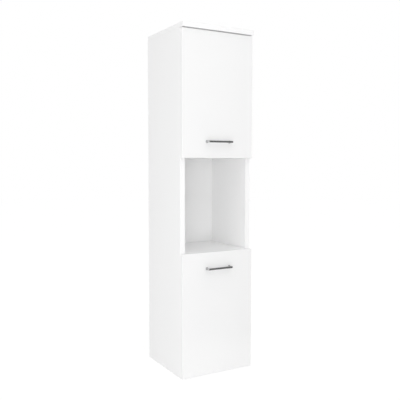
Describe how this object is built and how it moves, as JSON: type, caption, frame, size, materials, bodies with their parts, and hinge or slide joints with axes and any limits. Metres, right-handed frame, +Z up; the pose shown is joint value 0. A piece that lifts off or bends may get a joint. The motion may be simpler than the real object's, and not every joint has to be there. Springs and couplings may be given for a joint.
{
  "type": "tall bathroom cabinet",
  "caption": "Tall narrow bathroom cabinet with hinged doors above and below an open niche, loose shelves, bow handles and a recessed back for a hanging rail.",
  "frame": {"origin": "middle of the flat underside of the carcass", "axes": "+Z up, +X to the right seen from the front, -Y towards the front, where the doors are"},
  "size_m": [0.35, 0.3625, 1.5],
  "materials": {
    "door_lacquer": "smooth white satin lacquer on fibreboard",
    "carcass_melamine": "white melamine on particle board, banded edges",
    "shelf_melamine": "white melamine on particle board",
    "back_board": "white faced hardboard",
    "handle_metal": "satin dark nickel",
    "hinge_nickel": "nickel plated",
    "zinc_steel": "bright zinc plated",
    "zinc_casting": "die cast zinc",
    "white_plastic": "moulded",
    "clear_plastic": "translucent",
    "beech": "fluted dowel stock"
  },
  "bodies": {
    "cabinet": {"access_caps": "white_plastic", "back_panel": "back_board", "bottom_panel": "carcass_melamine", "cam_bolts": "zinc_steel", "cam_caps": "white_plastic", "cam_housings": "zinc_casting", "hanger_screws": "zinc_steel", "hinge_arm_pins": "hinge_nickel", "hinge_arm_screws": "zinc_steel", "hinge_plate_screws": "zinc_steel", "joint_dowels": "beech", "left_hanger_hook": "zinc_steel", "left_hanger_housing": "white_plastic", "left_side_panel": "carcass_melamine", "lower_door_high_hinge_arm": "hinge_nickel", "lower_door_high_hinge_plate": "hinge_nickel", "lower_door_low_hinge_arm": "hinge_nickel", "lower_door_low_hinge_plate": "hinge_nickel", "lower_shelf": "shelf_melamine", "lower_shelf_supports": "clear_plastic", "niche_ceiling_panel": "carcass_melamine", "niche_floor_panel": "carcass_melamine", "right_hanger_hook": "zinc_steel", "right_hanger_housing": "white_plastic", "right_side_panel": "carcass_melamine", "top_panel": "carcass_melamine", "upper_door_high_hinge_arm": "hinge_nickel", "upper_door_high_hinge_plate": "hinge_nickel", "upper_door_low_hinge_arm": "hinge_nickel", "upper_door_low_hinge_plate": "hinge_nickel", "upper_shelf": "shelf_melamine", "upper_shelf_supports": "clear_plastic", "wall_rail": "zinc_steel"},
    "upper_hinge_links": {"upper_door_high_hinge_link": "hinge_nickel", "upper_door_low_hinge_link": "hinge_nickel"},
    "upper_door": {"upper_door": "door_lacquer", "upper_door_bumpers": "clear_plastic", "upper_door_cup_pins": "hinge_nickel", "upper_door_cup_screws": "zinc_steel", "upper_door_high_hinge_cup": "hinge_nickel", "upper_door_low_hinge_cup": "hinge_nickel", "upper_handle": "handle_metal", "upper_handle_screws": "zinc_steel"},
    "lower_hinge_links": {"lower_door_high_hinge_link": "hinge_nickel", "lower_door_low_hinge_link": "hinge_nickel"},
    "lower_door": {"lower_door": "door_lacquer", "lower_door_bumpers": "clear_plastic", "lower_door_cup_pins": "hinge_nickel", "lower_door_cup_screws": "zinc_steel", "lower_door_high_hinge_cup": "hinge_nickel", "lower_door_low_hinge_cup": "hinge_nickel", "lower_handle": "handle_metal", "lower_handle_screws": "zinc_steel"}
  },
  "joints": [
    {"name": "upper_hinge_link_swing", "type": "hinge", "parent": "cabinet", "child": "upper_hinge_links", "pos_m": [0.14, -0.1575, 1.21], "axis": [0, 0, 1], "range_deg": [-38, 0]},
    {"name": "upper_door_swing", "type": "hinge", "parent": "upper_hinge_links", "child": "upper_door", "pos_m": [0.1625, -0.167, 1.21], "axis": [0, 0, 1], "range_deg": [0, 133]},
    {"name": "lower_hinge_link_swing", "type": "hinge", "parent": "cabinet", "child": "lower_hinge_links", "pos_m": [0.14, -0.1575, 0.27], "axis": [0, 0, 1], "range_deg": [-38, 0]},
    {"name": "lower_door_swing", "type": "hinge", "parent": "lower_hinge_links", "child": "lower_door", "pos_m": [0.1625, -0.167, 0.27], "axis": [0, 0, 1], "range_deg": [0, 133]}
  ],
  "couplings": [
    {"joint": "upper_hinge_link_swing", "follows": "upper_door_swing", "ratio": -0.28571},
    {"joint": "lower_hinge_link_swing", "follows": "lower_door_swing", "ratio": -0.28571}
  ]
}
